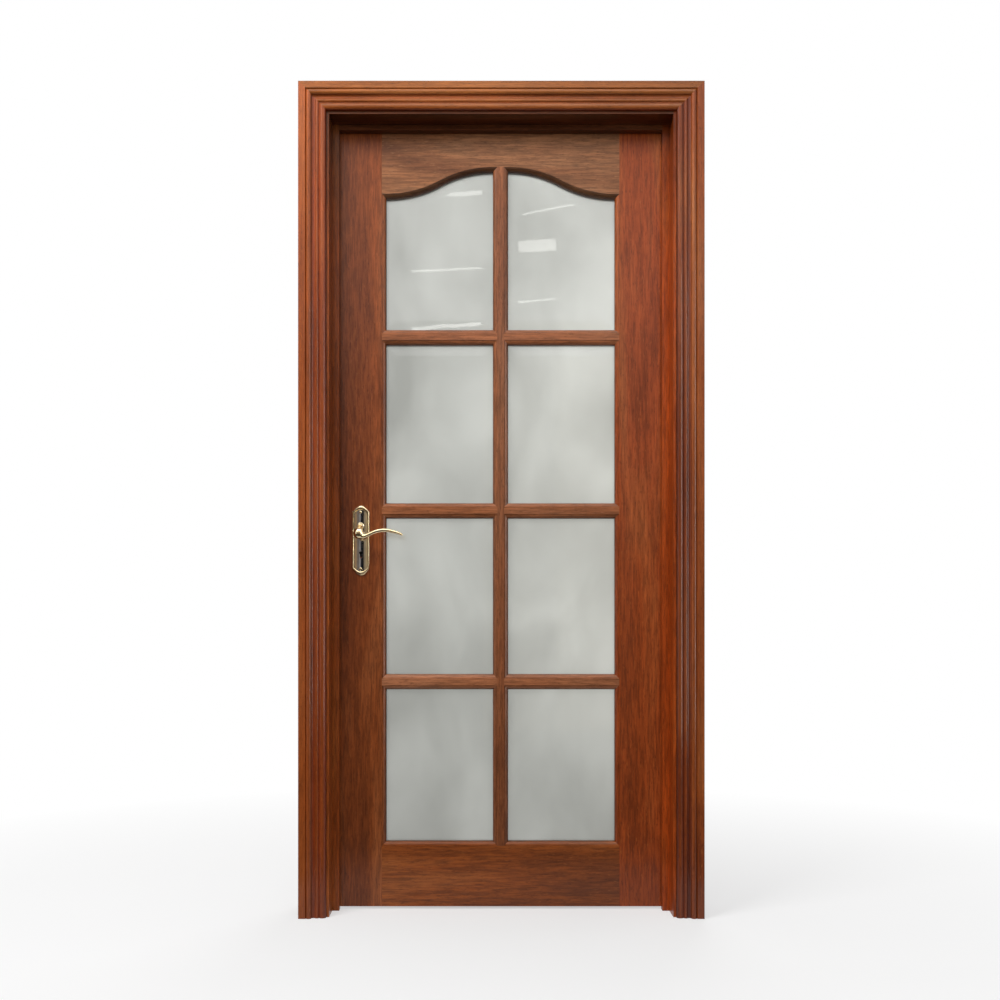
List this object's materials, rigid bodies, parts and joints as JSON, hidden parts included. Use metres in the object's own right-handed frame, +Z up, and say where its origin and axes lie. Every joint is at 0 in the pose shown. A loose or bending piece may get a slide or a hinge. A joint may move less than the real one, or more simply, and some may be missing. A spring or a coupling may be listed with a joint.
{
  "type": "glazed wooden door",
  "caption": "Glazed wooden door in its moulded frame, with an arched top rail, small panes between bars and a lever handle.",
  "frame": {"origin": "outer face of the hinge jamb at floor level, in the middle of the wall's thickness", "axes": "+X out of the hinge jamb's outer face, away from the doorway; +Y through the wall, from the recessed face in the picture to the face the leaf opens to; +Z up"},
  "size_m": [1.028, 0.211, 2.119],
  "materials": {
    "casing_wood": "gloss",
    "lining_wood": "satin",
    "leaf_wood": "satin",
    "glass": "polished",
    "gilt_brass": "polished",
    "nickel": "polished",
    "steel": "satin"
  },
  "bodies": {
    "frame": {"casing_back_head": "casing_wood", "casing_back_hinge": "casing_wood", "casing_back_lock": "casing_wood", "casing_front_head": "casing_wood", "casing_front_hinge": "casing_wood", "casing_front_lock": "casing_wood", "hinge_high_jamb": "steel", "hinge_low_jamb": "steel", "hinge_mid_jamb": "steel", "jamb_head": "lining_wood", "jamb_hinge": "lining_wood", "jamb_lock": "lining_wood", "stop_head": "lining_wood", "stop_hinge": "lining_wood", "stop_lock": "lining_wood", "strike_plate": "steel"},
    "leaf": {"bar_high_hinge": "leaf_wood", "bar_high_lock": "leaf_wood", "bar_low_hinge": "leaf_wood", "bar_low_lock": "leaf_wood", "bar_mid_hinge": "leaf_wood", "bar_mid_lock": "leaf_wood", "bar_upright": "leaf_wood", "dead_bolt": "steel", "hinge_high_leaf": "steel", "hinge_low_leaf": "steel", "hinge_mid_leaf": "steel", "latch_bolt": "steel", "lock_forend": "steel", "pane_arched_hinge": "glass", "pane_arched_lock": "glass", "pane_bottom_hinge": "glass", "pane_bottom_lock": "glass", "pane_lower_hinge": "glass", "pane_lower_lock": "glass", "pane_upper_hinge": "glass", "pane_upper_lock": "glass", "panel_back": "nickel", "panel_front": "nickel", "plate_back": "gilt_brass", "plate_front": "gilt_brass", "rail_bottom": "leaf_wood", "rail_top": "leaf_wood", "stile_hinge": "leaf_wood", "stile_lock": "leaf_wood"},
    "lever": {"lever_back": "gilt_brass", "lever_front": "gilt_brass", "spindle": "steel"}
  },
  "joints": [
    {"name": "door_swing", "type": "hinge", "parent": "frame", "child": "leaf", "pos_m": [-0.0345, 0.072, 1.02], "axis": [0, 0, -1], "range_deg": [0, 110]},
    {"name": "lever_turn", "type": "hinge", "parent": "leaf", "child": "lever", "pos_m": [-0.836, 0.045, 1.002], "axis": [0, 1, 0], "range_deg": [0, 40], "stiffness_Nm_per_rad": 1, "springref_deg": -20.05}
  ]
}
